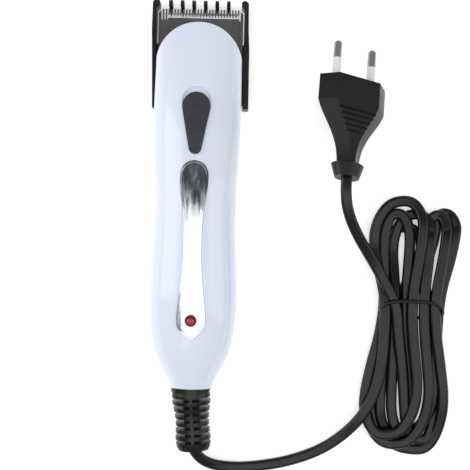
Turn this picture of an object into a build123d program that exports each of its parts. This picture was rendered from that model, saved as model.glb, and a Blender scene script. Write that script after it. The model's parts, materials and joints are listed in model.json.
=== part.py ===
from build123d import *
import math
import os

# Electric pet clipper lying on its back, with its comb fitted and its lead wound into a hank.
# Millimetres. X is across the clipper, Y runs from the cord to the blade, Z is up.
# The origin is under the middle of the clipper, on the surface that it lies on.

# Casing: stations along Y as (y, half width, top z, bottom z) of an elliptical section
STATIONS = [
    (-76.5, 10.0, 22.5, 5.5),
    (-68.0, 13.9, 26.2, 2.8),
    (-59.0, 17.8, 29.4, 0.6),
    (-48.0, 19.9, 31.8, -0.8),
    (-34.0, 20.5, 33.4, -1.2),
    (-12.0, 19.6, 34.0, -1.2),
    (10.0, 19.2, 33.8, -1.2),
    (34.0, 20.1, 32.4, -1.4),
    (54.0, 20.35, 29.8, -1.6),
    (74.0, 20.2, 25.2, -1.2),
    (86.0, 20.1, 21.6, 1.5),
    (97.0, 20.0, 18.2, 3.5),
]
TAIL_Y = STATIONS[0][0]
NOSE_Y = 93.1
ARCH_R = 20.6
ARCH_Y = NOSE_Y - ARCH_R
WALL = 2.0
FLOOR = 2.4
PARTING_Z = 15.0
FIT = 0.05

# Head: the comb's plate, the fixed blade, the moving blade, the bracket and the casing's lip, upwards
COMB_PLATE = 2.0
FIXED_Z = 2.3
FIXED_T = 1.6
MOVING_Z = FIXED_Z + FIXED_T + FIT
MOVING_T = 1.2
BRACKET_Z = 5.3
LIP_Z = 8.3
COMB_STEP_Y = 54.0
HEAD_STEP_Y = 59.5
BLADE_EDGE_Y = 102.3
FIXED_HALF = 20.2
FIXED_REAR_Y = 66.0
MOVING_HALF = 17.0
MOVING_TIP_Y = 100.3
MOVING_REAR_Y = 80.0
BLADE_REST_X = 1.3
TOOTH_PITCH = 1.38
TOOTH_GAP = 0.66
BLADE_SCREW = (13.6, 70.0)
SPRING_FOOT_X = 10.0

# Drive: a swinging arm on a pivot pin, whose tip sits in a notch of the moving blade
PIVOT = (8.0, -30.0)
PIVOT_R = 1.5
TIP_Y = 85.0
TIP_R = 2.5
POLE_X = 4.0
ARMATURE_X = 5.9
CORE_Y = (-22.0, 30.0)
CORE_Z = (10.5, 20.5)
CORE_SCREW_X = -5.0

# Controls and trim on the front
SWITCH_BIG = (52.9, 6.3)
SWITCH_SMALL = (33.6, 2.7)
SWITCH_TRAVEL = 2.4
STEM_Y = 44.6
SWITCH_PROUD = 1.3
SWITCH_DEEP = 0.9
LED_Y = -44.3
LED_R = 2.65
TRIM_TOP_Y = 27.8
TRIM_END_Y = -52.6

# Casing screws as (x, y)
CASING_SCREWS = [(-12.6, 50.0), (12.6, 50.0), (0.0, -52.0)]

# Comb
COMB_TIP_Y = 106.0
COMB_REAR_Y = 54.4
COMB_PITCH = 5.5
COMB_TEETH_SHIFT = -0.6
COMB_TOOTH = 1.7
ARM_IN = 20.75
ARM_OUT = 23.0
ARM_HIGH = 9.0
ARM_REAR_HALF = 22.75
COMB_LEAN = 0.85

# Strain relief, its direction and the flat cord
RELIEF_Z = 13.6
RELIEF_END = (2.0, -106.0, 10.6)
RELIEF_HALF = (8.5, 6.4)
SLOT_REACH = 12.0
CORD_W = 5.2
CORD_T = 3.2

# The cord's route from the strain relief to the hank, and from the plug to the hank
CLIPPER_LEAD = [
    (3.5, -109.2, 9.1),
    (8.6, -113.3, 6.2),
    (16.5, -115.4, 3.6),
    (28.0, -115.7, 1.8),
    (45.5, -112.8, 1.8),
    (61.3, -107.0, 2.4),
    (72.0, -99.2, 4.8),
    (80.2, -90.0, 8.0),
    (86.0, -79.6, 9.0),
    (89.3, -68.0, 9.3),
    (90.6, -56.4, 9.5),
    (90.8, -46.0, 9.6),
]
PLUG_LEAD = [
    (69.0, 14.6, 24.0),
    (71.0, 5.4, 21.6),
    (76.0, -4.4, 17.8),
    (82.4, -13.6, 14.0),
    (88.2, -22.8, 11.6),
    (92.4, -32.4, 10.2),
    (95.0, -42.0, 9.6),
]

# Hank: sections along Y as (y, x centre, half width, half height) of the wound cord
HANK = [
    (-107.0, 108.0, 4.0, 1.8),
    (-103.0, 105.4, 11.0, 2.8),
    (-95.0, 102.3, 18.6, 3.8),
    (-82.0, 101.2, 20.6, 4.2),
    (-66.0, 101.9, 17.4, 4.8),
    (-50.0, 102.9, 14.4, 5.0),
    (-38.0, 103.3, 13.6, 5.1),
    (-28.0, 103.6, 14.4, 5.0),
    (-12.0, 104.4, 19.4, 4.8),
    (1.0, 104.8, 20.2, 4.4),
    (10.0, 103.0, 13.4, 3.6),
    (14.6, 100.6, 4.4, 2.2),
]
TIE_Y = -38.0
TIE_HALF = (14.3, 5.9)
TIE_R = 0.75

# Plug: flat body with 45 degree bevels, two round pins with insulating sleeves
PLUG_HALF = (17.65, 6.85)
PLUG_FACE = (72.6, 68.0, 10.9)
PLUG_ROLL = 23.0
PLUG_PITCH = 15.0
PLUG_YAW = -4.0
PLUG_LENGTH = 47.5
PLUG_GROOVES = [(-16.6, 6.75), (-19.1, 6.65), (-21.6, 6.4), (-24.1, 6.1), (-26.6, 5.85)]
PIN_SPACING = 18.6
PIN_R = 2.0
PIN_CORE_R = 1.5
PIN_ROOT = 15.0
PIN_BARE = 9.0
PIN_SLEEVE = 10.0


def block(x, y, z):
    """A box given by its (low, high) limits on each axis."""
    size = [b - a for a, b in (x, y, z)]
    middle = [(a + b) / 2 for a, b in (x, y, z)]
    return Pos(*middle) * Box(*size)


def post(x, y, radius, z0, z1):
    """An upright cylinder between two heights."""
    return Pos(x, y, (z0 + z1) / 2) * Cylinder(radius, z1 - z0)


def prism(outline, z0, z1):
    """A closed plan outline raised between two heights."""
    return extrude(Pos(0, 0, z0) * make_face(outline), z1 - z0)


def envelope(grow):
    """The casing's rounded body, grown outwards by a distance."""
    faces = []
    for y, half, top, bottom in STATIONS:
        plane = Plane(origin=(0, y, (top + bottom) / 2), x_dir=(1, 0, 0), z_dir=(0, -1, 0))
        faces.append(plane * Ellipse(half + grow, (top - bottom) / 2 + grow))
    return loft(faces)


def head_plan(grow):
    """The casing seen from above: long sides and a round arch over the blades."""
    sides = block((-40, 40), (TAIL_Y - 5, ARCH_Y), (-10, 50))
    return sides + post(0, ARCH_Y, ARCH_R + grow, -10, 50)


def under_cut(lift):
    """The space under the head for the blades and the comb, grown upwards by a distance."""
    comb = block((-40, 40), (COMB_STEP_Y - lift, 120), (-10, FIXED_Z + lift))
    blades = block((-40, 40), (HEAD_STEP_Y - lift, 120), (-10, LIP_Z))
    return block((-40, 40), (-100, 120), (-10, lift)) + comb + blades


def pear(grow, travel, z0, z1):
    """The switch button's pear-shaped outline as a prism, lengthened by its travel."""
    big_y, big_r = SWITCH_BIG
    small_y, small_r = SWITCH_SMALL
    tilt = math.asin((big_r - small_r) / (big_y - small_y))
    solids = []
    for shift in (0, travel):
        big = Pos(0, big_y + shift) * Circle(big_r + grow)
        small = Pos(0, small_y + shift) * Circle(small_r + grow)
        corners = []
        for side in (1, -1):
            for y, r in ((small_y, small_r), (big_y, big_r)):
                reach = (r + grow) * math.cos(tilt)
                corners.append((side * reach, y + shift - (r + grow) * math.sin(tilt)))
        quad = make_face(Polyline(corners[0], corners[1], corners[3], corners[2], close=True))
        solids.append(extrude(Pos(0, 0, z0) * (big + small + quad), z1 - z0))
    return solids[0] + solids[1] if travel else solids[0]


def trim_outline(inset):
    """Half of the chrome trim's outline is drawn through its widths and mirrored."""
    top = TRIM_TOP_Y - inset
    end = TRIM_END_Y + inset
    right = [
        (6.3 - inset, 21.6),
        (5.0 - inset, 8.0),
        (4.05 - inset, -8.0),
        (4.6 - inset, -24.0),
        (6.1 - inset, -38.0),
        (6.45 - inset, -44.8),
    ]
    left = [(-x, y) for x, y in reversed(right)]
    head = ThreePointArc((left[-1][0], left[-1][1]), (0, top), (right[0][0], right[0][1]))
    side_r = Spline(*right, tangents=[(0.05, -1), (-0.05, -1)])
    foot = Spline(right[-1], (3.6 - inset, -50.1 + inset * 0.5), (0, end),
                  (-3.6 + inset, -50.1 + inset * 0.5), left[0],
                  tangents=[(-0.05, -1), (-0.05, 1)])
    side_l = Spline(*left, tangents=[(-0.05, 1), (0.05, 1)])
    return Wire([head, side_r, foot, side_l])


def trim_prism(inset):
    return extrude(Pos(0, 0, PARTING_Z) * make_face(trim_outline(inset)), 40)


OUTER = envelope(0) & head_plan(0)


def casing():
    """Both halves of the casing in one, hollow, before they are parted."""
    body = OUTER - under_cut(0)
    hollow = envelope(-WALL) & head_plan(-WALL)
    hollow -= block((-40, 40), (-100, TAIL_Y + WALL), (-10, 50))
    hollow -= block((-40, 40), (NOSE_Y - WALL, 120), (-10, 50))
    return body - (hollow - under_cut(FLOOR))


def relief_frame():
    """The strain relief's own axes: Z runs out along the cord."""
    start = Vector(0, TAIL_Y, RELIEF_Z)
    out = Vector(*RELIEF_END) - start
    return Plane(origin=start, x_dir=(1, 0, 0), z_dir=out), out.length


def stadium(width, height, grow=0.0):
    return SlotOverall(width + 2 * grow, height + 2 * grow)


def neck_hole():
    frame, _ = relief_frame()
    return extrude(frame * Ellipse(6.3, 4.9), 12, both=True)


def low_screw_post(x, y):
    """A post of the rear shell that a casing screw passes through, with a pocket for its head."""
    return post(x, y, 3.4, 0.2, PARTING_Z) - post(x, y, 1.5, -1, 20) - post(x, y, 2.9, -1, 5)


def high_screw_post(x, y):
    """A post of the front shell that a casing screw bites into."""
    reach = post(x, y, 3.2, PARTING_Z + 0.05, 40) & envelope(-WALL / 2)
    return reach - post(x, y, 1.5, 10, 24)


def front_shell():
    shell = casing() & block((-40, 40), (-100, 120), (PARTING_Z + 0.03, 50))
    for x, y in CASING_SCREWS:
        shell += high_screw_post(x, y)
    shell -= pear(0.25, SWITCH_TRAVEL, 10, 50) - envelope(-SWITCH_DEEP)
    shell -= block((-2.2, 2.2), (STEM_Y - 4.0, STEM_Y + 6.4), (20, 50))
    shell -= trim_prism(-0.12) - envelope(-0.6)
    shell -= post(0, LED_Y, LED_R + FIT, 20, 50)
    shell -= neck_hole()
    return shell


def rear_shell():
    shell = casing() & block((-40, 40), (-100, 120), (-10, PARTING_Z))
    for x, y in CASING_SCREWS:
        shell -= post(x, y, 3.0, -5, 6)
        shell += low_screw_post(x, y)
    for side in (-1, 1):
        x, y = BLADE_SCREW
        web = block(sorted((side * x, side * (x + 6))), (y - 2, y + 2), (LIP_Z, PARTING_Z - 0.4))
        shell += (post(side * x, y, 3.4, LIP_Z, PARTING_Z - 0.4) + web) & envelope(-WALL / 2)
        shell -= post(side * x, y, 1.45, 0, 13.5)
    for y in (CORE_Y[0] + 4, CORE_Y[1] - 4):
        shell += post(CORE_SCREW_X, y, 3.2, 1.0, CORE_Z[0]) - post(CORE_SCREW_X, y, 1.5, 4.5, 12)
    px, py = PIVOT
    shell += post(px, py, 4.0, 1.0, 10.8) - post(px, py, PIVOT_R + 0.02, 3.0, 12)
    shell += spring_lug()
    shell += cord_cradle()
    shell -= neck_hole()
    return shell


def spring_lug():
    """A wall on the rear shell that the return spring pushes against."""
    return block((15.4, 17.0), (13.5, 20.5), (1.5, PARTING_Z)) & envelope(-WALL / 2)


def cord_cradle():
    """Two ribs on the rear shell that hold the cord from below, with the clamp's screw posts."""
    bed = block((-9.5, 9.5), (-66.0, -58.0), (1.0, 11.2)) & envelope(-WALL / 2)
    return bed - block((-CORD_W / 2 - FIT, CORD_W / 2 + FIT), (-70, -55), (10.0, 14)) \
        - post(-6.8, -62, 1.3, 3, 14) - post(6.8, -62, 1.3, 3, 14)


def casing_screws():
    solids = []
    for x, y in CASING_SCREWS:
        head = post(x, y, 2.7, 2.6, 4.9)
        head -= block((x - 2.0, x + 2.0), (y - 0.35, y + 0.35), (2.0, 3.4))
        head -= block((x - 0.35, x + 0.35), (y - 2.0, y + 2.0), (2.0, 3.4))
        solids.append(head + post(x, y, 1.42, 4.9, 22))
    return solids


def chrome_trim():
    plate = (trim_prism(0) & envelope(0.45)) - envelope(-0.5)
    rim = ((trim_prism(0) - trim_prism(0.75)) & envelope(0.85)) - envelope(0.2)
    return plate + rim - post(0, LED_Y, LED_R + FIT, 20, 50)


def led_bezel():
    ring = post(0, LED_Y, LED_R, 24, 40) - post(0, LED_Y, 2.1, 20, 50)
    return ring & envelope(1.0)


def led_lens():
    top = 32.2
    dome = Pos(0, LED_Y, top) * Sphere(2.05)
    return (post(0, LED_Y, 2.05, 25.6, top) + dome) - block((-4, 4), (LED_Y - 4, LED_Y + 4), (20, 25.6))


def led_board():
    board = block((-7, 7), (LED_Y - 8, LED_Y + 9), (22.6, 23.8))
    return board - post(0, -52.0, 3.6, 20, 30)


def led_legs():
    return [post(x, LED_Y, 0.3, 23.85, 25.55) for x in (-0.9, 0.9)]


def led_resistor():
    return Pos(3.6, LED_Y + 4.6, 25.0) * Rot(90, 0, 0) * Cylinder(1.1, 5.6)


def switch_slider():
    button = (pear(0, 0, 10, 50) & envelope(SWITCH_PROUD)) - envelope(-SWITCH_DEEP + 0.1)
    for row in range(4):
        for x in (-0.75, 0.75):
            bump = post(x, SWITCH_SMALL[0] + 3.2 + 5.45 * row, 0.42, 20, 50)
            button += (bump & envelope(SWITCH_PROUD + 0.3)) - envelope(0)
    stem = block((-1.5, 1.5), (STEM_Y - 1.6, STEM_Y + 1.6), (26.2, 32.5)) & envelope(0.2)
    return button + stem


def switch_actuator():
    """The switch's own little slide, forked around the button's stem."""
    reach = (STEM_Y - 3.8, STEM_Y + 3.8)
    slide = block((-2.4, 2.4), reach, (23.6, 26.0))
    fork = block((-2.4, 2.4), reach, (26.0, 28.2))
    return slide + fork - block((-1.6, 1.6), (STEM_Y - 1.7, STEM_Y + 1.7), (25.9, 30))


def switch_body():
    box = block((-4.6, 4.6), (STEM_Y - 9.6, STEM_Y + 11.0), (17.6, 26.4))
    return box - block((-2.55, 2.55), (STEM_Y - 4.1, STEM_Y + 6.5), (23.4, 30))


def switch_bracket():
    """A strap that carries the switch under the front shell."""
    plate = block((-4.6, 4.6), (35.0, 55.6), (16.2, 17.5))
    wings = block((-8.4, 8.4), (42.0, 48.6), (16.2, 17.5))
    return plate + wings


def switch_terminals():
    return [block((x - 0.3, x + 0.3), (31.4, 34.9), (19.5, 21.9)) for x in (-2.4, 0, 2.4)]


def toothed_plate(half, rear, tip, depth, pitch, gap, z, thick, phase):
    """A blade: a flat plate with square-cut teeth along its front edge."""
    plate = block((-half, half), (rear, tip), (z, z + thick))
    count = int((2 * half - 3.0) / pitch)
    slots = []
    for k in range(count + 1):
        x = (k - count / 2) * pitch + phase
        slots.append(block((x - gap / 2, x + gap / 2), (tip - depth, tip + 1), (z - 1, z + thick + 1)))
    return plate - slots


def fixed_blade():
    blade = toothed_plate(FIXED_HALF, FIXED_REAR_Y, BLADE_EDGE_Y, 5.2, TOOTH_PITCH, TOOTH_GAP,
                          FIXED_Z, FIXED_T, 0)
    bevel = Pos(0, BLADE_EDGE_Y, FIXED_Z + FIXED_T) * Rot(-15, 0, 0) * Box(60, 9, 2.0)
    blade -= Pos(0, 0, 1.0) * bevel
    for side in (-1, 1):
        corner = Pos(side * FIXED_HALF, BLADE_EDGE_Y, FIXED_Z) * Rot(0, 0, 45) * Box(2.6, 2.6, 9)
        blade -= corner
        x, y = BLADE_SCREW
        blade -= post(side * x, y, 1.6, 0, 9)
        blade -= Pos(side * x, y, FIXED_Z + 0.7) * Cone(3.0, 1.6, 1.4)
    return blade


def moving_blade():
    depth = 2.0
    blade = toothed_plate(MOVING_HALF, MOVING_REAR_Y, MOVING_TIP_Y, depth, 1.4, 0.62,
                          MOVING_Z, MOVING_T, 0)
    blade = Pos(BLADE_REST_X, 0, 0) * blade
    chamfer_tool = Pos(0, MOVING_TIP_Y - 1.2, MOVING_Z + MOVING_T) * Rot(-17, 0, 0) * Box(60, 3.6, 1.1)
    blade -= Pos(0, 0, 0.55) * chamfer_tool
    notch = block((BLADE_REST_X - TIP_R - FIT, BLADE_REST_X + TIP_R + FIT),
                  (MOVING_REAR_Y - 1, TIP_Y + TIP_R + 1.0), (0, 9))
    return blade - notch


def blade_bracket():
    plan = block((-40, 40), (HEAD_STEP_Y + 0.3, ARCH_Y), (BRACKET_Z, LIP_Z - 0.02))
    plan += post(0, ARCH_Y, ARCH_R + 0.7, BRACKET_Z, LIP_Z - 0.02)
    plan &= block((-ARCH_R + 0.6, ARCH_R - 0.6), (HEAD_STEP_Y + 0.3, 120), (0, 20))
    plan -= block((-4.4, 4.8), (TIP_Y - 4.2, TIP_Y + 4.2), (0, 20))
    x, y = BLADE_SCREW
    for side in (-1, 1):
        plan += post(side * x, y, 2.8, FIXED_Z + FIXED_T, BRACKET_Z + 0.5)
        plan -= post(side * x, y, 1.5, 0, 20)
        plan -= block((side * SPRING_FOOT_X - 1.3, side * SPRING_FOOT_X + 1.3), (82.7, 85.3), (0, 20))
    return plan


def blade_spring():
    """A leaf that presses the moving blade down through two windows of the bracket."""
    reach = SPRING_FOOT_X + 1
    leaf = block((-reach, reach), (76.4, 85.0), (LIP_Z, LIP_Z + 0.6))
    leaf -= block((-reach + 2, reach - 2), (78.6, 90.0), (0, 20))
    foot_z = (MOVING_Z + MOVING_T + 0.03, LIP_Z + 0.3)
    for side in (-1, 1):
        foot_x = sorted((side * (reach - 2), side * reach))
        leaf += block(foot_x, (83.0, 85.0), foot_z)
    return leaf


def blade_screws():
    solids = []
    x, y = BLADE_SCREW
    for side in (-1, 1):
        head = Pos(side * x, y, FIXED_Z + 0.75) * Cone(2.85, 1.45, 1.3)
        head -= block((side * x - 2.0, side * x + 2.0), (y - 0.3, y + 0.3), (2.0, 2.8))
        head -= block((side * x - 0.3, side * x + 0.3), (y - 2.0, y + 2.0), (2.0, 2.8))
        solids.append(head + post(side * x, y, 1.4, FIXED_Z + 1.3, 13.0))
    return solids


def vibrator_arm():
    px, py = PIVOT
    plan = Polyline((9.0, -27.5), (11.2, -27.5), (11.2, 36.5), (3.5, 51.5), (3.3, 87.0),
                    (-0.7, 87.0), (-0.7, 50.5), (9.0, 34.5), close=True)
    arm = prism(plan, 12.5, 15.5)
    arm += block((9.0, 11.2), (-27.5, 33.0), (11.6, 19.4))
    arm += post(px, py, 4.0, 11.0, 20.0)
    arm += block((8.0, 11.2), (-31.0, -26.0), (11.6, 19.4))
    return arm - post(px, py, PIVOT_R + FIT, 5, 30)


def armature():
    return block((ARMATURE_X, 8.97), (CORE_Y[0] - 2, CORE_Y[1] + 2), (11.0, 20.0))


def drive_tip():
    tip = post(BLADE_REST_X, TIP_Y, TIP_R, MOVING_Z + 0.02, 12.47)
    return tip + block((BLADE_REST_X - 1.8, BLADE_REST_X + 1.8), (TIP_Y - 6.0, TIP_Y), (10.2, 12.47))


def pivot_pin():
    return post(*PIVOT, PIVOT_R, 3.2, 21.6)


def pivot_clip():
    ring = post(*PIVOT, 3.0, 20.3, 21.1) - post(*PIVOT, PIVOT_R + 0.02, 18, 24)
    return ring - block((PIVOT[0] - 0.9, PIVOT[0] + 0.9), (PIVOT[1] - 4, PIVOT[1]), (18, 24))


def return_spring():
    """A coil spring between the arm and the lug on the rear shell."""
    left, right = 11.3, 15.3
    wire = 0.35
    helix = Helix(pitch=1.0, height=right - left - 2 * wire, radius=1.9)
    frame = Plane(origin=(left + wire, 17.0, 13.2), z_dir=(1, 0, 0), x_dir=(0, 1, 0))
    path = frame * helix
    section = Plane(origin=path @ 0, z_dir=path % 0) * Circle(wire)
    return sweep(section, path)


def stator_core():
    low, high = CORE_Y
    yoke = block((-9.0, -4.0), (low, high), CORE_Z)
    legs = block((-9.0, POLE_X), (high - 8, high), CORE_Z) + block((-9.0, POLE_X), (low, low + 8), CORE_Z)
    core = yoke + legs
    for y in (low + 4, high - 4):
        core -= post(CORE_SCREW_X, y, 1.55, 5, 30)
    return core


def stator_screws():
    solids = []
    for y in (CORE_Y[0] + 4, CORE_Y[1] - 4):
        head = post(CORE_SCREW_X, y, 2.7, CORE_Z[1] + 0.02, 22.5)
        solids.append(head + post(CORE_SCREW_X, y, 1.42, 5.0, CORE_Z[1] + 0.1))
    return solids


def coil_bobbin():
    y0, y1 = CORE_Y[0] + 8.1, CORE_Y[1] - 8.1
    tube = block((-10.2, -2.8), (y0, y1), (9.3, 21.7))
    ends = block((-12.9, 0.2), (y0, y0 + 1.2), (7.0, 24.0)) + block((-12.9, 0.2), (y1 - 1.2, y1), (7.0, 24.0))
    return tube + ends - block((-9.05, -3.95), (-50, 50), (CORE_Z[0] - FIT, CORE_Z[1] + FIT))


def coil_winding():
    y0, y1 = CORE_Y[0] + 9.4, CORE_Y[1] - 9.4
    coil = block((-12.6, -0.1), (y0, y1), (7.3, 23.7))
    coil = fillet(coil.edges().filter_by(Axis.Y), 2.2)
    return coil - block((-10.25, -2.75), (-50, 50), (9.25, 21.75))


def cord_clamp():
    bar = block((-9.2, 9.2), (-64.5, -59.5), (11.3, 14.6))
    bar -= block((-CORD_W / 2 - FIT, CORD_W / 2 + FIT), (-70, -55), (10.0, 10.0 + CORD_T + 0.1))
    return bar - post(-6.8, -62, 1.4, 5, 20) - post(6.8, -62, 1.4, 5, 20)


def clamp_screws():
    return [post(x, -62, 2.3, 14.65, 16.4) + post(x, -62, 1.25, 7.2, 14.7) for x in (-6.8, 6.8)]


def strain_relief():
    frame, length = relief_frame()
    wide, high = RELIEF_HALF
    faces = []
    for share, scale in ((0.0, 1.0), (0.35, 0.975), (0.7, 0.955), (0.93, 0.935), (1.0, 0.83)):
        faces.append(frame * Pos(0, 0, 1.4 + share * (length - 1.4)) * Ellipse(wide * scale, high * scale))
    body = loft(faces)
    body += extrude(frame * Pos(0, 0, -1.5) * Ellipse(9.2, 7.2), 3.1)
    body -= block((-40, 40), (TAIL_Y - 0.03, 0), (-10, 50))
    body += extrude(frame * Pos(0, 0, -4.6) * Ellipse(6.2, 4.8), 5.6)
    body += extrude(frame * Pos(0, 0, -4.8) * Ellipse(7.3, 5.7), 2.0)
    core_x, core_y = CORD_W / 2 + 1.1, CORD_T / 2 + 1.1
    for k in range(7):
        z = 4.4 + 3.33 * k
        core = block((-core_x, core_x), (-core_y, core_y), (z - 1, z + 3))
        for side in (-1, 1):
            slot = block(sorted((side * 0.7, side * SLOT_REACH)), (-10, 10), (z, z + 1.6))
            body -= frame.location * (slot - core)
    hole = extrude(frame * Pos(0, 0, -8) * stadium(CORD_W, CORD_T, FIT), length + 12)
    return body - hole


def inner_cord():
    """The stretch of flat cord inside the strain relief and the clamp."""
    frame, length = relief_frame()
    inside = frame * Pos(0, 0, -5.2) * stadium(CORD_W, CORD_T)
    outer = extrude(inside, length + 5.2)
    plane = Plane(origin=(0, -66.5, 10.05 + CORD_T / 2), x_dir=(1, 0, 0), z_dir=(0, -1, 0))
    clamped = plane * stadium(CORD_W, CORD_T)
    return outer + loft([inside, clamped]) + extrude(clamped, -9.5)


def corner_radii(points):
    """The largest arc at each corner that its two runs have room for."""
    radii = []
    for before, here, after in zip(points, points[1:], points[2:]):
        first = Vector(*here) - Vector(*before)
        second = Vector(*after) - Vector(*here)
        half_turn = math.radians(first.get_angle(second)) / 2
        radii.append(0.45 * min(first.length, second.length) / math.tan(half_turn))
    return radii


def cord_tube(name, points, section, area):
    """A tube along straight runs joined by tangent arcs."""
    radii = corner_radii(points)
    path = FilletPolyline(*points, radius=radii)
    plane = Plane(origin=path @ 0, z_dir=path % 0, x_dir=level_side(path % 0))
    solid = sweep(plane * section, path)
    print(name, "radii", [round(r, 1) for r in radii])
    print(name, "length", round(path.length, 1), "volume / section x length",
          round(solid.volume / (area * path.length), 4))
    return solid


def level_side(direction):
    """The level direction square to a cord's own."""
    side = direction.cross(Vector(0, 0, 1))
    return side.normalized()


def plug_frame():
    """The plug's own axes: Z along the pins, X from pin to pin."""
    turned = Location(PLUG_FACE) * Rot(0, 0, PLUG_YAW) * Rot(-PLUG_PITCH, 0, 0) * Rot(0, PLUG_ROLL, 0)
    return Plane(turned * Rot(-90, 0, 0))


def hexagon(width, thick):
    """A flat section with a 45 degree bevel along each side."""
    flat = width - thick
    return make_face(Polyline((width, 0), (flat, thick), (-flat, thick), (-width, 0),
                              (-flat, -thick), (flat, -thick), close=True))


def plug_body():
    frame = plug_frame()
    wide, thick = PLUG_HALF
    faces = []
    waist = ((-12.5, wide, thick), (-19.5, 14.2, 6.6), (-27.5, 9.4, 5.6), (-35.0, 6.6, 4.8),
             (-42.0, 5.9, 4.5))
    for z, w, t in waist:
        faces.append(frame * Pos(0, 0, z) * hexagon(w, t))
    body = extrude(frame * Pos(0, 0, -12.5) * hexagon(wide, thick), 12.5)
    body += loft(faces)
    collar = frame * Pos(0, 0, -41.5) * Ellipse(8.0, 6.2)
    body += loft([collar, frame * Pos(0, 0, -PLUG_LENGTH) * Ellipse(6.0, 4.8)])
    for side in (-1, 1):
        for z, surface in PLUG_GROOVES:
            groove = Pos(0, side * (surface + 0.45), z) * Box(30, 2.0, 1.1)
            body -= frame.location * groove
        socket = Cylinder(PIN_CORE_R + 0.02, PIN_ROOT + 0.02)
        body -= frame * Pos(side * PIN_SPACING / 2, 0, -PIN_ROOT / 2) * socket
    hole = extrude(frame * Pos(0, 0, -PLUG_LENGTH - 1) * stadium(CORD_W, CORD_T, 0.02), 9)
    return body - hole


def plug_pins():
    """Round pins with a bare end, on a thinner core that the sleeve covers and the body holds."""
    frame = plug_frame()
    solids = []
    for side in (-1, 1):
        end = Pos(0, 0, PIN_SLEEVE + PIN_BARE / 2) * Cylinder(PIN_R, PIN_BARE)
        end = fillet(end.edges().sort_by(Axis.Z)[-1], 1.6)
        core = Pos(0, 0, (PIN_SLEEVE - PIN_ROOT) / 2) * Cylinder(PIN_CORE_R, PIN_SLEEVE + PIN_ROOT)
        solids.append(frame.location * Pos(side * PIN_SPACING / 2, 0, 0) * (end + core))
    return solids


def pin_sleeves():
    frame = plug_frame()
    length = PIN_SLEEVE - 0.1
    sleeve = Cylinder(PIN_R, length) - Cylinder(PIN_CORE_R + 0.02, length + 2)
    return [frame.location * Pos(side * PIN_SPACING / 2, 0, PIN_SLEEVE / 2) * sleeve for side in (-1, 1)]


def cord_hank():
    """The outer shape of the wound cord."""
    faces = []
    for y, x, half, high in HANK:
        plane = Plane(origin=(x, y, high + 0.1), x_dir=(1, 0, 0), z_dir=(0, -1, 0))
        faces.append(plane * Ellipse(half, high))
    return loft(faces)


def cord_tie():
    """A tie of thin covered wire around the hank's waist."""
    wide, high = TIE_HALF
    plane = Plane(origin=(HANK[6][1], TIE_Y, high + TIE_R + 0.05), x_dir=(1, 0, 0), z_dir=(0, -1, 0))
    outer = extrude(plane * Ellipse(wide + TIE_R, high + TIE_R), 2 * TIE_R, both=False)
    return outer - extrude(plane * Ellipse(wide - TIE_R, high - TIE_R), 6, both=True)


def wire(points, radius=0.6):
    path = FilletPolyline(*points, radius=0.9)
    return sweep(Plane(origin=path @ 0, z_dir=path % 0) * Circle(radius), path)


def lead_wires():
    """Insulated wires from the cord to the switch and the coil, and between those two."""
    to_switch = [(-1.4, -56.6, 11.6), (-1.6, -56.0, 12.0), (-7.0, -54.0, 13.0), (-9.5, -46.0, 16.0),
                 (-9.5, -30.0, 25.6), (-7.0, -10.0, 26.0), (-7.0, 20.0, 26.2), (-2.4, 28.6, 23.0),
                 (-2.4, 30.8, 21.1)]
    to_coil = [(1.4, -56.6, 11.6), (1.6, -56.0, 12.0), (6.4, -53.6, 12.5), (5.0, -44.0, 12.0),
               (0.0, -36.0, 9.0), (-0.6, -24.0, 8.4), (-1.0, -14.2, 8.3)]
    between = [(2.4, 30.8, 21.1), (2.4, 28.6, 23.0), (-0.6, 22.8, 24.9)]
    return [wire(to_switch), wire(to_coil), wire(between)]


def comb_tooth(x):
    """One comb tooth: it runs under the blades and turns up in front of them."""
    side = Polyline((80.0, 0.05), (104.6, 0.05), (COMB_TIP_Y, 1.4), (COMB_TIP_Y, 6.4), (105.2, 7.4),
                    (103.6, 7.4), (102.9, 6.6), (102.9, 2.9), (102.0, 2.0), (80.0, 2.0), close=True)
    plane = Plane(origin=(x - COMB_TOOTH / 2, 0, 0), x_dir=(0, 1, 0), z_dir=(1, 0, 0))
    return extrude(plane * make_face(side), COMB_TOOTH)


def comb_arm(side):
    """A side wall of the comb, from its outer tooth to the clip beside the casing."""
    rear_out = ARM_REAR_HALF + side * COMB_LEAN
    middle_out = ARM_OUT + side * COMB_LEAN / 2
    plan = Polyline((ARM_IN, COMB_REAR_Y), (rear_out, COMB_REAR_Y), (middle_out, 82.0), (22.9, 92.0),
                    (22.7, 104.8), (21.7, COMB_TIP_Y), (20.2, COMB_TIP_Y), (19.4, 105.2), (19.4, 103.0),
                    (ARM_IN, 101.6), close=True)
    wall = prism(plan, 0.05, ARM_HIGH)
    profile = Polyline((50, 0), (108, 0), (108, 6.0), (104.0, 8.6), (94.0, ARM_HIGH), (50, ARM_HIGH),
                       close=True)
    wall &= extrude(Plane.YZ * make_face(profile), 40)
    return wall if side > 0 else mirror(wall, Plane.YZ)


def comb():
    plate = block((-ARM_IN - 0.1, ARM_IN + 0.1), (57.0, 86.0), (0.05, COMB_PLATE))
    part = plate + comb_arm(1) + comb_arm(-1)
    for k in range(6):
        part += comb_tooth((k - 2.5) * COMB_PITCH + COMB_TEETH_SHIFT)
    part -= block((-12, 12), (60.0, 76.0), (-1, 0.9))
    for k in range(7):
        part += block((-12, 12), (61.0 + 2.2 * k, 61.9 + 2.2 * k), (0.3, 1.0))
    return part


def write(name, shape):
    """One STEP per node; a list becomes a group of separate solids."""
    if isinstance(shape, (list, tuple)):
        shape = Compound(children=[s if isinstance(s, Solid) else s.solid() for s in shape])
    export_step(shape, f"parts/{name}.step")
    print("wrote", name, flush=True)


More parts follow.
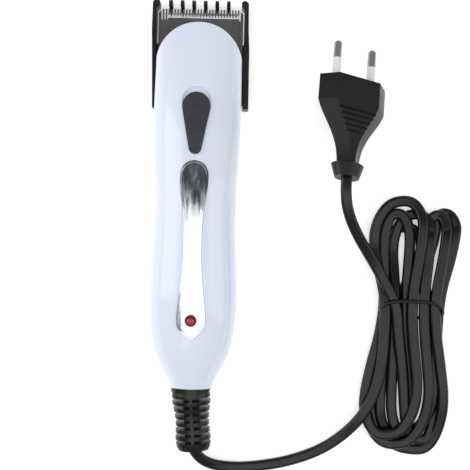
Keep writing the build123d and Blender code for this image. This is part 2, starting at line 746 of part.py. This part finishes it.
PARTS = {
    "front_shell": front_shell,
    "rear_shell": rear_shell,
    "casing_screws": casing_screws,
    "chrome_trim": chrome_trim,
    "led_bezel": led_bezel,
    "led_lens": led_lens,
    "led_board": led_board,
    "led_legs": led_legs,
    "led_resistor": led_resistor,
    "switch_slider": switch_slider,
    "switch_actuator": switch_actuator,
    "switch_body": switch_body,
    "switch_bracket": switch_bracket,
    "switch_terminals": switch_terminals,
    "fixed_blade": fixed_blade,
    "moving_blade": moving_blade,
    "blade_bracket": blade_bracket,
    "blade_spring": blade_spring,
    "blade_screws": blade_screws,
    "vibrator_arm": vibrator_arm,
    "armature": armature,
    "drive_tip": drive_tip,
    "pivot_pin": pivot_pin,
    "pivot_clip": pivot_clip,
    "return_spring": return_spring,
    "stator_core": stator_core,
    "stator_screws": stator_screws,
    "coil_bobbin": coil_bobbin,
    "coil_winding": coil_winding,
    "cord_clamp": cord_clamp,
    "clamp_screws": clamp_screws,
    "strain_relief": strain_relief,
    "inner_cord": inner_cord,
    "lead_wires": lead_wires,
    "comb": comb,
    "plug_body": plug_body,
    "plug_pins": plug_pins,
    "pin_sleeves": pin_sleeves,
    "cord_hank": cord_hank,
    "cord_tie": cord_tie,
}


def main():
    os.makedirs("parts", exist_ok=True)
    for name, make in PARTS.items():
        write(name, make())
    section = stadium(CORD_W, CORD_T)
    area = section.area
    write("clipper_lead", cord_tube("clipper_lead", [RELIEF_END] + CLIPPER_LEAD, section, area))
    tail = (plug_frame().location * Location((0, 0, -PLUG_LENGTH))).position
    write("plug_lead", cord_tube("plug_lead", [tuple(tail)] + PLUG_LEAD, section, area))


main()
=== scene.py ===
import json
import math

import bpy
from mathutils import Matrix, Vector, noise


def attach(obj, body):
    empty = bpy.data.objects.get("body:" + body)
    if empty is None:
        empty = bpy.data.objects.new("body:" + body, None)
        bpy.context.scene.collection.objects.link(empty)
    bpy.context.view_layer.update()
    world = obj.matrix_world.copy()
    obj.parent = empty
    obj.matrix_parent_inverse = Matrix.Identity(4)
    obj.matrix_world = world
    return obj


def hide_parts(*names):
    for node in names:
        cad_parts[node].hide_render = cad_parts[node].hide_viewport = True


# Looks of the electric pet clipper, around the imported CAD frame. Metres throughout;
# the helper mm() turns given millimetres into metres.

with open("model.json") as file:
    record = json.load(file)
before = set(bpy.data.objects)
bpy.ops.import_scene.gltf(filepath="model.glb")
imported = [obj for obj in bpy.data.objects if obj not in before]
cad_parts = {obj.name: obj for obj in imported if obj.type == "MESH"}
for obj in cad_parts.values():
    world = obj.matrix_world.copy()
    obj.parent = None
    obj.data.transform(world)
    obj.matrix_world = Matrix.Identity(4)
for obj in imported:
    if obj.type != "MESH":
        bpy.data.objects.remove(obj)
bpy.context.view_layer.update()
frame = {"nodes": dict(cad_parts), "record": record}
MM = 0.001


def mm(*values):
    return Vector([v * MM for v in values])


# ---------------------------------------------------------------- camera
CAMERA_AT = mm(21.0, -9.1, 500.0)
CAMERA_AIM = mm(18.9, -5.1, 16.0)
CAMERA_ROLL = math.radians(-1.45)
FRAME_PX = 470
FOCAL_PX = 2.15 * 484.0


def camera():
    """A long lens above the clipper, turned slightly about its own axis."""
    data = bpy.data.cameras.new("camera")
    data.sensor_width = 36.0
    data.lens = FOCAL_PX * data.sensor_width / FRAME_PX
    data.clip_start = 0.01
    data.clip_end = 20.0
    obj = bpy.data.objects.new("camera", data)
    bpy.context.scene.collection.objects.link(obj)
    ahead = (CAMERA_AIM - CAMERA_AT).normalized()
    up = Vector((math.sin(CAMERA_ROLL), math.cos(CAMERA_ROLL), 0.0))
    right = ahead.cross(up).normalized()
    up = right.cross(ahead)
    obj.matrix_world = Matrix.Translation(CAMERA_AT) @ Matrix((right, up, -ahead)).transposed().to_4x4()
    bpy.context.scene.camera = obj


camera()

# ---------------------------------------------------------------- cord
CORD_W = 5.2
CORD_T = 3.2
SECTION_SIDES = 10
SECTION_GROOVE = 0.86
CLIPPER_LEAD = [
    (2.0, -106.0, 10.6),
    (3.5, -109.2, 9.1),
    (8.6, -113.3, 6.2),
    (16.5, -115.4, 3.6),
    (28.0, -115.7, 1.8),
    (45.5, -112.8, 1.8),
    (61.3, -107.0, 2.2),
    (72.0, -99.2, 4.8),
    (80.2, -90.0, 8.4),
    (86.0, -79.6, 9.4),
    (89.0, -68.0, 9.0),
    (90.4, -54.0, 8.6),
]
PLUG_LEAD = [
    (93.4, -31.4, 9.2),
    (88.2, -22.8, 10.2),
    (82.4, -13.6, 13.0),
    (76.0, -4.4, 17.2),
    (71.0, 5.4, 21.4),
    (69.0, 14.6, 24.0),
    (69.4, 22.4, 23.2),
]

# The hank's six turns. At the tie each turn comes up at UP and goes down at DOWN, as (x, z).
# A lobe is its left side, its far point and its right side, each as (x, y, z).
TIE_Y = -38.0
UP = [(90.8, 8.3), (90.4, 5.0), (95.8, 5.0), (97.2, 1.8), (102.6, 1.8), (91.8, 1.8), (96.0, 8.5)]
DOWN = [(103.3, 8.3), (100.8, 4.9), (108.8, 8.3), (114.0, 8.3), (116.4, 5.0), (111.2, 5.0)]
TOP = [
    ((85.2, -6.0, 5.0), (98.6, 13.4, 7.4), (107.6, 0.5, 8.4)),
    ((90.0, -7.0, 4.6), (95.6, 7.4, 5.2), (101.9, -5.3, 5.2)),
    ((94.8, -9.7, 1.9), (104.6, 7.4, 2.6), (111.6, -0.3, 7.2)),
    ((110.6, -5.0, 1.8), (115.0, 7.0, 4.6), (119.0, -1.1, 7.4)),
    ((114.6, -4.0, 1.8), (118.2, 8.0, 2.6), (124.0, -0.4, 4.4)),
    ((91.4, -12.4, 1.8), (99.0, 1.0, 1.8), (107.2, -5.7, 3.4)),
]
BOTTOM = [
    ((82.2, -81.8, 5.0), (92.0, -98.2, 6.6), (106.2, -76.0, 8.3)),
    ((95.0, -81.5, 5.0), (99.4, -95.2, 4.4), (105.2, -78.9, 4.9)),
    ((83.6, -83.2, 1.8), (96.6, -102.8, 4.8), (111.8, -78.2, 8.1)),
    ((86.6, -84.5, 1.8), (108.0, -105.6, 1.9), (119.2, -81.1, 6.4)),
    ((89.8, -84.1, 4.6), (97.4, -98.0, 2.0), (114.2, -80.1, 4.9)),
    ((101.6, -86.1, 5.8), (110.4, -100.6, 3.2), (116.0, -80.7, 2.4)),
]
LEG_SHARES = (0.3, 0.62)
ARC_TURNS = (0, 30, 60)
ARC_FULL = 1.05


def ease(share):
    """A share from 0 to 1 that starts and ends gently."""
    return share * share * (3 - 2 * share)


def leg(tie, side):
    """Points of a strand from the tie out to a lobe's side."""
    points = [(tie[0], TIE_Y, tie[1])]
    for share in LEG_SHARES:
        swing = ease(share)
        x = tie[0] + (side[0] - tie[0]) * swing
        y = TIE_Y + (side[1] - TIE_Y) * share
        z = tie[1] + (side[2] - tie[1]) * swing
        points.append((x, y, z))
    return points


def quarter(side, far):
    """Points of a lobe from its side round towards its far point."""
    points = []
    for turn in ARC_TURNS:
        across, along = math.cos(math.radians(turn)), math.sin(math.radians(turn))
        x = far[0] + (side[0] - far[0]) * across * ARC_FULL
        y = side[1] + (far[1] - side[1]) * along * ARC_FULL
        z = side[2] + (far[2] - side[2]) * along
        points.append((x, y, z))
    return points


def lobe(start, end, first, far, last):
    """A loop beyond the tie: out along its first side, round its far point and back."""
    out = leg(start, first) + quarter(first, far)
    back = leg(end, last)[1:] + quarter(last, far)
    return out + [far] + back[::-1]


def hank_points():
    """The six turns in order, each a lobe above the tie and a lobe below it."""
    points = []
    for turn, down in enumerate(DOWN):
        points += lobe(UP[turn], down, *TOP[turn])
        points += lobe(down, UP[turn + 1], *BOTTOM[turn][::-1])
    points.append((UP[-1][0], TIE_Y, UP[-1][1]))
    return points


def stadium_profile(name, width, height):
    """A flat twin cord's section, with a groove along each face, as a hidden closed curve."""
    data = bpy.data.curves.new(name, "CURVE")
    data.dimensions = "2D"
    line = data.splines.new("POLY")
    radius = height / 2
    shift = width / 2 - radius
    corners = []
    for k in range(SECTION_SIDES + 1):
        turn = math.pi * k / SECTION_SIDES - math.pi / 2
        corners.append((shift + radius * math.cos(turn), radius * math.sin(turn)))
    corners.append((0.0, radius * SECTION_GROOVE))
    for k in range(SECTION_SIDES + 1):
        turn = math.pi * k / SECTION_SIDES + math.pi / 2
        corners.append((-shift + radius * math.cos(turn), radius * math.sin(turn)))
    corners.append((0.0, -radius * SECTION_GROOVE))
    line.points.add(len(corners) - 1)
    for point, (x, y) in zip(line.points, corners):
        point.co = (x, y, 0, 1)
    line.use_cyclic_u = True
    obj = bpy.data.objects.new(name, data)
    bpy.context.scene.collection.objects.link(obj)
    obj.hide_render = True
    obj.hide_viewport = True
    return obj


def cord_curve(name, points, profile):
    """One open NURBS spline through the cord's route, with a flat section."""
    data = bpy.data.curves.new(name, "CURVE")
    data.dimensions = "3D"
    data.twist_mode = "Z_UP"
    data.resolution_u = 8
    line = data.splines.new("NURBS")
    line.points.add(len(points) - 1)
    for point, place in zip(line.points, points):
        point.co = (*mm(*place), 1)
        # The radius scales the section, drawn in millimetres, and keeps the curve's box tight.
        point.radius = MM
    line.order_u = 3
    line.use_endpoint_u = True
    data.bevel_mode = "OBJECT"
    data.bevel_object = profile
    data.use_fill_caps = True
    obj = bpy.data.objects.new(name, data)
    bpy.context.scene.collection.objects.link(obj)
    return obj


profile = stadium_profile("cord_section", CORD_W, CORD_T)
cord = cord_curve("mains_cord", CLIPPER_LEAD + hank_points() + PLUG_LEAD, profile)
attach(cord, "casing")
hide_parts("clipper_lead", "cord_hank", "plug_lead")


TIE_WIRE_R = 0.85
TIE_HALF = (14.8, 6.4)
TIE_MIDDLE = (103.3, 5.4)
TIE_BOW = 5.6
TIE_DRIFT = 2.0
TIE_SQUARENESS = 0.55
TIE_POINTS = 28
TIE_FROM = -187
TIE_SWEEP = 378
TIE_SETBACK = 2.2
TIE_UNDERSIDE = -0.3
TIE_LIFT = 0.02


def tie():
    """A covered wire pulled round the hank's waist, bowed over its top, its ends overlapping below."""
    data = bpy.data.curves.new("cord_tie_wire", "CURVE")
    data.dimensions = "3D"
    data.resolution_u = 6
    data.bevel_depth = TIE_WIRE_R * MM
    data.bevel_resolution = 4
    data.use_fill_caps = True
    line = data.splines.new("NURBS")
    places = []
    for k in range(TIE_POINTS + 1):
        turn = math.radians(TIE_FROM + TIE_SWEEP * k / TIE_POINTS)
        across, rise = math.cos(turn), math.sin(turn)
        x = TIE_MIDDLE[0] + TIE_HALF[0] * math.copysign(abs(across) ** TIE_SQUARENESS, across)
        z = TIE_MIDDLE[1] + TIE_HALF[1] * math.copysign(abs(rise) ** TIE_SQUARENESS, rise)
        y = TIE_Y - TIE_SETBACK + TIE_BOW * max(rise, TIE_UNDERSIDE) + TIE_DRIFT * (k / TIE_POINTS - 0.5)
        places.append((x, y, max(z, TIE_WIRE_R + TIE_LIFT)))
    line.points.add(len(places) - 1)
    for point, place in zip(line.points, places):
        point.co = (*mm(*place), 1)
    line.order_u = 3
    line.use_endpoint_u = True
    curve = bpy.data.objects.new("cord_tie_curve", data)
    bpy.context.scene.collection.objects.link(curve)
    bpy.context.view_layer.update()
    mesh = bpy.data.meshes.new_from_object(curve.evaluated_get(bpy.context.evaluated_depsgraph_get()))
    bpy.data.objects.remove(curve)
    mesh.shade_smooth()
    obj = bpy.data.objects.new("cord_tie_wire", mesh)
    bpy.context.scene.collection.objects.link(obj)
    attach(obj, "casing")
    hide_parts("cord_tie")
    return obj


cord_tie = tie()


def spline_length(obj):
    """The centreline's length, read from the curve with no bevel."""
    bare = obj.copy()
    bare.data = obj.data.copy()
    bare.data.bevel_mode = "ROUND"
    bare.data.bevel_object = None
    bpy.context.scene.collection.objects.link(bare)
    bpy.context.view_layer.update()
    mesh = bpy.data.meshes.new_from_object(bare.evaluated_get(bpy.context.evaluated_depsgraph_get()))
    places = [vertex.co for vertex in mesh.vertices]
    total = sum((places[edge.vertices[0]] - places[edge.vertices[1]]).length for edge in mesh.edges)
    bpy.data.meshes.remove(mesh)
    bpy.data.objects.remove(bare)
    return total


print("cord length", spline_length(cord))


# ---------------------------------------------------------------- materials
def new_material(name, color, roughness, metallic=0.0):
    mat = bpy.data.materials.new(name)
    mat.use_nodes = True
    shader = mat.node_tree.nodes["Principled BSDF"]
    shader.inputs["Base Color"].default_value = (*color, 1)
    shader.inputs["Roughness"].default_value = roughness
    shader.inputs["Metallic"].default_value = metallic
    return mat, shader


def object_noise(mat, scale, detail=4.0, stretch=(1, 1, 1)):
    """Noise in object space, so it keeps its size and stays on the part when it moves."""
    nodes, links = mat.node_tree.nodes, mat.node_tree.links
    place = nodes.new("ShaderNodeTexCoord")
    mapping = nodes.new("ShaderNodeMapping")
    mapping.inputs["Scale"].default_value = stretch
    grain = nodes.new("ShaderNodeTexNoise")
    grain.inputs["Scale"].default_value = scale
    grain.inputs["Detail"].default_value = detail
    links.new(place.outputs["Object"], mapping.inputs["Vector"])
    links.new(mapping.outputs["Vector"], grain.inputs["Vector"])
    return grain.outputs["Fac"]


def vary(mat, shader, source, socket, low, high):
    """Drive a float socket between two values by a 0-1 source."""
    ramp = mat.node_tree.nodes.new("ShaderNodeMapRange")
    ramp.inputs["From Min"].default_value = 0.3
    ramp.inputs["From Max"].default_value = 0.7
    ramp.inputs["To Min"].default_value = low
    ramp.inputs["To Max"].default_value = high
    mat.node_tree.links.new(source, ramp.inputs["Value"])
    mat.node_tree.links.new(ramp.outputs["Result"], shader.inputs[socket])


def tint(mat, shader, source, dark, light):
    """Blend the base colour between two by a 0-1 source."""
    mix = mat.node_tree.nodes.new("ShaderNodeMix")
    mix.data_type = "RGBA"
    mix.inputs["A"].default_value = (*dark, 1)
    mix.inputs["B"].default_value = (*light, 1)
    mat.node_tree.links.new(source, mix.inputs["Factor"])
    mat.node_tree.links.new(mix.outputs["Result"], shader.inputs["Base Color"])


def bump(mat, shader, source, depth, strength=1.0):
    node = mat.node_tree.nodes.new("ShaderNodeBump")
    node.inputs["Distance"].default_value = depth
    node.inputs["Strength"].default_value = strength
    mat.node_tree.links.new(source, node.inputs["Height"])
    mat.node_tree.links.new(node.outputs["Normal"], shader.inputs["Normal"])


PLASTIC_BUMP = 0.6


def plastic(name, dark, light, roughness, grain_scale, depth, coat=0.0):
    """Moulded plastic: slight colour and roughness variation over a fine grain."""
    mat, shader = new_material(name, light, roughness)
    shader.inputs["Specular IOR Level"].default_value = 0.35
    broad = object_noise(mat, 60.0, 3.0)
    fine = object_noise(mat, grain_scale, 2.0)
    tint(mat, shader, broad, dark, light)
    vary(mat, shader, broad, "Roughness", roughness * 0.85, min(1.0, roughness * 1.15))
    bump(mat, shader, fine, depth, PLASTIC_BUMP)
    shader.inputs["Coat Weight"].default_value = coat
    shader.inputs["Coat Roughness"].default_value = 0.06
    return mat


def steel(name, dark, light, roughness, stretch, scale):
    """Ground metal: fine streaks in one direction."""
    mat, shader = new_material(name, light, roughness, 1.0)
    streaks = object_noise(mat, scale, 3.0, stretch)
    broad = object_noise(mat, 120.0, 3.0)
    tint(mat, shader, broad, dark, light)
    vary(mat, shader, streaks, "Roughness", roughness * 0.7, min(1.0, roughness * 1.4))
    bump(mat, shader, streaks, 0.00002, 0.5)
    return mat


def white_shell():
    """Glossy bluish white moulding under a clear coat."""
    return plastic("white_gloss", (0.72, 0.76, 0.88), (0.75, 0.79, 0.90), 0.22, 2500.0, 0.000004, coat=0.6)


def chrome():
    """Thin plating over moulded plastic: mirror bright, with fine scratches and cloudy patches."""
    mat, shader = new_material("chrome_plate", (0.62, 0.64, 0.67), 0.09, 1.0)
    scratches = object_noise(mat, 500.0, 5.0, (1.0, 0.25, 1.0))
    patches = object_noise(mat, 260.0, 6.0)
    tint(mat, shader, patches, (0.50, 0.53, 0.57), (0.74, 0.76, 0.78))
    vary(mat, shader, scratches, "Roughness", 0.05, 0.20)
    bump(mat, shader, scratches, 0.00004, 0.5)
    return mat


# The land, painted bright as a highlight, runs between these two places along the blade, in millimetres.
LAND_Y = (97.7, 99.0)
LAND_EDGE = 0.12
TEETH_EDGE = 0.15
# The colour of the painted highlight on the land, and the share of it painted on the teeth.
TEETH_HIGHLIGHT_SHARE = 0.35
LAND_HIGHLIGHT_COLOR = (0.92, 0.92, 0.93, 1)


def land_highlight_blade():
    """Dark hardened steel whose sloped land behind the tooth roots is painted bright, a painted highlight
    where the chamfer catches the light; the teeth beyond take a share of it.
    """
    mat = steel("moving_blade_steel_painted_highlight", (0.10, 0.095, 0.095), (0.17, 0.16, 0.16), 0.36, (0.08, 3.0, 3.0), 900.0)
    nodes, links = mat.node_tree.nodes, mat.node_tree.links
    shader = nodes["Principled BSDF"]
    place = nodes.new("ShaderNodeTexCoord")
    split = nodes.new("ShaderNodeSeparateXYZ")
    links.new(place.outputs["Object"], split.inputs["Vector"])
    highlight_band = nodes.new("ShaderNodeMapRange")
    highlight_band.interpolation_type = "SMOOTHSTEP"
    highlight_band.inputs["From Min"].default_value = LAND_Y[0] * MM
    highlight_band.inputs["From Max"].default_value = (LAND_Y[0] + LAND_EDGE) * MM
    links.new(split.outputs["Y"], highlight_band.inputs["Value"])
    teeth = nodes.new("ShaderNodeMapRange")
    teeth.inputs["From Min"].default_value = LAND_Y[1] * MM
    teeth.inputs["From Max"].default_value = (LAND_Y[1] + TEETH_EDGE) * MM
    teeth.inputs["To Min"].default_value = 1.0
    teeth.inputs["To Max"].default_value = TEETH_HIGHLIGHT_SHARE
    links.new(split.outputs["Y"], teeth.inputs["Value"])
    share = nodes.new("ShaderNodeMath")
    share.operation = "MULTIPLY"
    links.new(highlight_band.outputs["Result"], share.inputs[0])
    links.new(teeth.outputs["Result"], share.inputs[1])
    # Painted highlight: the land's band is mixed towards a near-white colour, and the teeth at a lesser
    # share.
    mix = nodes.new("ShaderNodeMix")
    mix.data_type = "RGBA"
    body = shader.inputs["Base Color"].links[0].from_socket
    links.new(share.outputs["Value"], mix.inputs["Factor"])
    links.new(body, mix.inputs["A"])
    mix.inputs["B"].default_value = LAND_HIGHLIGHT_COLOR
    links.new(mix.outputs["Result"], shader.inputs["Base Color"])
    return mat


def lens():
    """Clear red plastic, slightly hazy inside."""
    mat, shader = new_material("red_lens", (0.52, 0.005, 0.02), 0.12)
    haze = object_noise(mat, 900.0, 3.0)
    tint(mat, shader, haze, (0.36, 0.0, 0.012), (0.62, 0.01, 0.03))
    vary(mat, shader, haze, "Roughness", 0.08, 0.2)
    shader.inputs["Subsurface Weight"].default_value = 0.2
    shader.inputs["Subsurface Scale"].default_value = 0.001
    shader.inputs["Coat Weight"].default_value = 0.8
    return mat


# By slot: name, darker colour, lighter colour, roughness, grain scale and grain depth.
PLASTICS = {
    "black_plastic": ("switch_black", (0.026, 0.026, 0.030), (0.040, 0.040, 0.046), 0.5, 5200.0, 0.00003),
    "comb_plastic": ("comb_black", (0.003, 0.003, 0.003), (0.007, 0.007, 0.007), 0.34, 2600.0, 0.00001),
    "dark_bezel": ("bezel", (0.05, 0.008, 0.01), (0.09, 0.012, 0.015), 0.25, 2000.0, 0.00001),
    "circuit_board": ("board", (0.36, 0.24, 0.08), (0.46, 0.32, 0.12), 0.6, 1800.0, 0.00002),
    "resistor_ceramic": ("resistor", (0.50, 0.40, 0.25), (0.60, 0.50, 0.34), 0.5, 2500.0, 0.00002),
    "switch_plastic": ("switch_housing", (0.04, 0.04, 0.044), (0.06, 0.06, 0.066), 0.5, 3000.0, 0.00002),
    "inner_nylon": ("nylon", (0.66, 0.63, 0.56), (0.76, 0.73, 0.66), 0.5, 1800.0, 0.00002),
    "drive_nylon": ("acetal", (0.78, 0.78, 0.75), (0.86, 0.86, 0.84), 0.4, 1800.0, 0.00001),
    "cord_rubber": ("cord_pvc", (0.003, 0.003, 0.003), (0.006, 0.006, 0.006), 0.24, 3800.0, 0.00002),
    "plug_pvc": ("plug_pvc", (0.003, 0.003, 0.003), (0.006, 0.006, 0.007), 0.4, 4200.0, 0.00003),
    "sleeve_plastic": ("sleeve", (0.72, 0.72, 0.70), (0.84, 0.84, 0.82), 0.4, 3000.0, 0.00002),
    "tie_plastic": ("tie", (0.003, 0.003, 0.003), (0.007, 0.007, 0.007), 0.35, 4000.0, 0.00002),
    "wire_pvc": ("wire", (0.42, 0.04, 0.03), (0.55, 0.07, 0.05), 0.4, 3000.0, 0.00001),
}
# By slot: name, darker colour, lighter colour, roughness, stretch of the streaks and their scale.
METALS = {
    "brass": ("brass", (0.55, 0.38, 0.14), (0.72, 0.54, 0.25), 0.3, (1, 1, 8), 900.0),
    "blade_steel": ("blade_steel", (0.12, 0.105, 0.105), (0.20, 0.175, 0.175), 0.36, (0.08, 3.0, 3.0), 900.0),
    "spring_steel": ("spring_steel", (0.42, 0.42, 0.43), (0.58, 0.58, 0.6), 0.25, (1, 1, 1), 900.0),
    "zinc_steel": ("zinc", (0.50, 0.50, 0.50), (0.66, 0.66, 0.67), 0.3, (1, 1, 1), 900.0),
    "core_steel": ("laminations", (0.18, 0.18, 0.19), (0.34, 0.34, 0.35), 0.45, (0.3, 0.3, 12.0), 900.0),
    "copper": ("winding", (0.42, 0.16, 0.06), (0.62, 0.28, 0.12), 0.3, (0.2, 14.0, 0.2), 900.0),
    "nickel": ("nickel", (0.26, 0.26, 0.25), (0.50, 0.50, 0.48), 0.22, (1, 1, 1), 1400.0),
}


def materials():
    """One material for each slot of the record."""
    table = {"white_shell": white_shell(), "chrome": chrome(), "red_lens": lens()}
    for slot, look in PLASTICS.items():
        table[slot] = plastic(*look)
    for slot, look in METALS.items():
        table[slot] = steel(*look)
    return table


def paint(obj, mat):
    """Give a piece one material in place of its own."""
    obj.data.materials.clear()
    obj.data.materials.append(mat)


MATERIALS = materials()
for part in frame["record"]["subparts"]:
    paint(frame["nodes"][part["node"]], MATERIALS[part["material_slot"]])
# The moving blade carries a painted highlight on its land.
paint(frame["nodes"]["moving_blade"], land_highlight_blade())
paint(cord, MATERIALS["cord_rubber"])
paint(cord_tie, MATERIALS["tie_plastic"])


# ---------------------------------------------------------------- stage and light
CARD_AT = (0.02, 0.225, 0.95)
CARD_SIZE = (1.1, 0.30)
CARD_RAGGED = 0.05
FLOOR_SIZE = 6.0
FLOOR_Z = -0.0002
FLOOR_GLOW = 0.45


def stage():
    """A white floor that glows a little, so it stays white between the shadows."""
    bpy.ops.mesh.primitive_plane_add(size=FLOOR_SIZE, location=(0, 0, FLOOR_Z))
    floor = bpy.context.object
    floor.name = "floor"
    mat, shader = new_material("floor", (0.9, 0.9, 0.9), 0.9)
    shader.inputs["Emission Color"].default_value = (1, 1, 1, 1)
    shader.inputs["Emission Strength"].default_value = FLOOR_GLOW
    shader.inputs["Specular IOR Level"].default_value = 0.1
    floor.data.materials.append(mat)


def dark_card():
    """A dark board beyond the camera that the plated trim mirrors at its upper end."""
    bpy.ops.mesh.primitive_grid_add(x_subdivisions=40, y_subdivisions=4, size=1.0)
    card = bpy.context.object
    card.name = "dark_card"
    for vertex in card.data.vertices:
        near_edge = vertex.co.y < -0.4
        ragged = CARD_RAGGED * noise.noise(Vector((vertex.co.x * 9.0, 3.0, 0.0))) if near_edge else 0.0
        vertex.co = (vertex.co.x * CARD_SIZE[0], vertex.co.y * CARD_SIZE[1] + ragged, 0.0)
    card.location = CARD_AT
    card.visible_camera = False
    card.visible_shadow = False
    card.visible_diffuse = False
    mat, shader = new_material("dark_card", (0.03, 0.035, 0.045), 0.9)
    card.data.materials.append(mat)


def area_light(name, place, size, power):
    """A white rectangular lamp aimed at the origin."""
    data = bpy.data.lights.new(name, "AREA")
    data.shape = "RECTANGLE"
    data.size, data.size_y = size
    data.energy = power
    obj = bpy.data.objects.new(name, data)
    bpy.context.scene.collection.objects.link(obj)
    obj.location = place
    obj.rotation_euler = (-Vector(place)).to_track_quat("-Z", "Y").to_euler()


def studio():
    """Three soft lamps and a pale world."""
    area_light("top_light", (0.02, -0.08, 1.15), (1.2, 1.25), 6.8)
    area_light("left_light", (-0.9, 0.1, 0.55), (0.6, 0.9), 3.4)
    area_light("right_light", (0.95, -0.1, 0.6), (0.5, 0.9), 2.0)
    world = bpy.data.worlds.new("studio")
    bpy.context.scene.world = world
    world.use_nodes = True
    world.node_tree.nodes["Background"].inputs["Color"].default_value = (0.95, 0.96, 1.0, 1)
    world.node_tree.nodes["Background"].inputs["Strength"].default_value = 0.42
    bpy.context.scene.view_settings.view_transform = "Standard"


stage()
dark_card()
studio()
